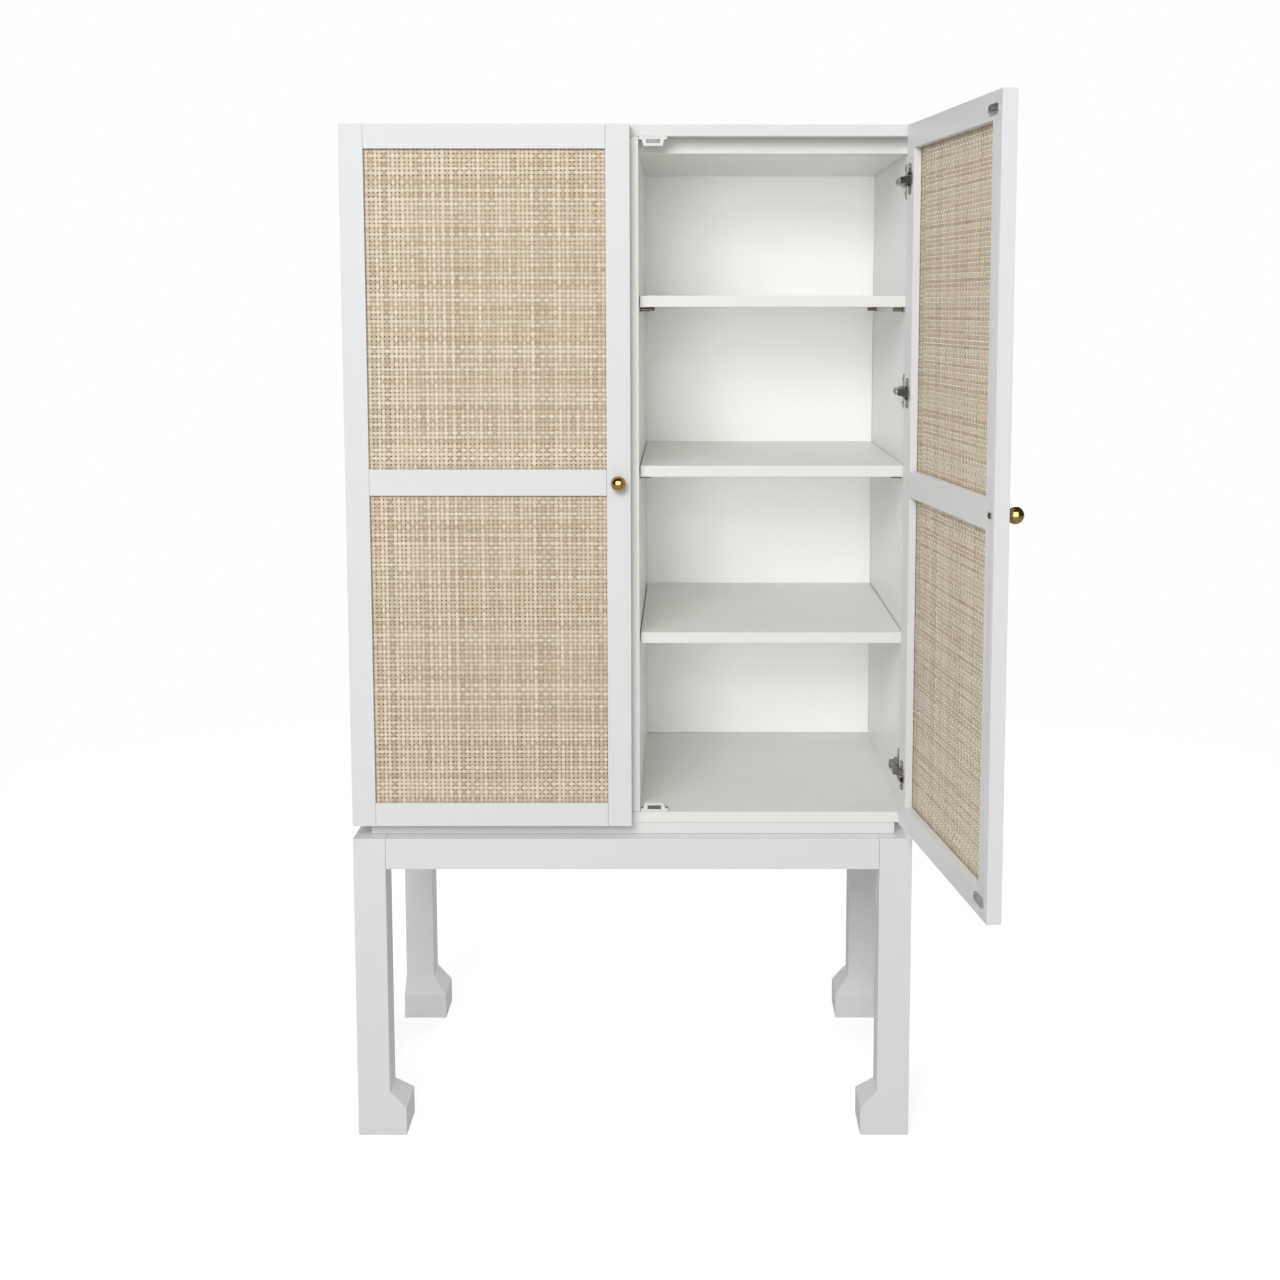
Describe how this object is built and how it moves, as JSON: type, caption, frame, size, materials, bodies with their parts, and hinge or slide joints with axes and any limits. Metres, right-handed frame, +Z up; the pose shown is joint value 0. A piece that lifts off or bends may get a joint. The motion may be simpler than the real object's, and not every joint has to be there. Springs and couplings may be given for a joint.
{
  "type": "two-door storage cabinet on a stand",
  "caption": "White lacquered two-door cabinet on a four-legged stand, with woven cane door panels, ball knobs, concealed hinges, a centre divider and adjustable shelves; the right door is open.",
  "frame": {"origin": "bottom centre of the bounding box at rest, with the right door open; the middle of the stand's front edge is at x -0.043, y -0.051 on the floor", "axes": "+X to the cabinet's right as seen from its front, +Y to the back, +Z up"},
  "size_m": [0.9993, 0.9702, 1.657],
  "materials": {
    "lacquered_wood": "satin white lacquer",
    "cane": "natural woven cane",
    "brass": "polished",
    "nickel": "nickel plated",
    "plastic": "matte white"
  },
  "bodies": {
    "carcass": {"front_left_leg": "lacquered_wood", "front_right_leg": "lacquered_wood", "rear_left_leg": "lacquered_wood", "rear_right_leg": "lacquered_wood", "front_apron": "lacquered_wood", "rear_apron": "lacquered_wood", "left_apron": "lacquered_wood", "right_apron": "lacquered_wood", "plinth_board": "lacquered_wood", "bottom_panel": "lacquered_wood", "top_panel": "lacquered_wood", "left_side_panel": "lacquered_wood", "right_side_panel": "lacquered_wood", "back_panel": "lacquered_wood", "ceiling_panel": "lacquered_wood", "centre_divider": "lacquered_wood", "lower_left_shelf": "lacquered_wood", "middle_left_shelf": "lacquered_wood", "upper_left_shelf": "lacquered_wood", "lower_right_shelf": "lacquered_wood", "middle_right_shelf": "lacquered_wood", "upper_right_shelf": "lacquered_wood", "lower_left_catch": "plastic", "upper_left_catch": "plastic", "lower_right_catch": "plastic", "upper_right_catch": "plastic", "lower_left_hinge_arm": "nickel", "middle_left_hinge_arm": "nickel", "upper_left_hinge_arm": "nickel", "lower_right_hinge_arm": "nickel", "middle_right_hinge_arm": "nickel", "upper_right_hinge_arm": "nickel"},
    "left_door": {"left_door_hinge_stile": "lacquered_wood", "left_door_free_stile": "lacquered_wood", "left_door_bottom_rail": "lacquered_wood", "left_door_middle_rail": "lacquered_wood", "left_door_top_rail": "lacquered_wood", "lower_left_cane_panel": "cane", "upper_left_cane_panel": "cane", "left_knob": "brass", "left_knob_screw": "nickel", "lower_left_strike_plate": "nickel", "upper_left_strike_plate": "nickel", "lower_left_hinge_cup": "nickel", "middle_left_hinge_cup": "nickel", "upper_left_hinge_cup": "nickel"},
    "right_door": {"right_door_hinge_stile": "lacquered_wood", "right_door_free_stile": "lacquered_wood", "right_door_bottom_rail": "lacquered_wood", "right_door_middle_rail": "lacquered_wood", "right_door_top_rail": "lacquered_wood", "lower_right_cane_panel": "cane", "upper_right_cane_panel": "cane", "right_knob": "brass", "right_knob_screw": "nickel", "lower_right_strike_plate": "nickel", "upper_right_strike_plate": "nickel", "lower_right_hinge_cup": "nickel", "middle_right_hinge_cup": "nickel", "upper_right_hinge_cup": "nickel"}
  },
  "joints": [
    {"name": "left_door_swing", "type": "hinge", "parent": "carcass", "child": "left_door", "pos_m": [-0.49138, -0.04091, 1.092], "axis": [0, 0, -1], "range_deg": [0, 110]},
    {"name": "right_door_swing", "type": "hinge", "parent": "carcass", "child": "right_door", "pos_m": [0.40462, -0.04091, 1.092], "axis": [0, 0, 1], "range_deg": [-98, 12]}
  ]
}
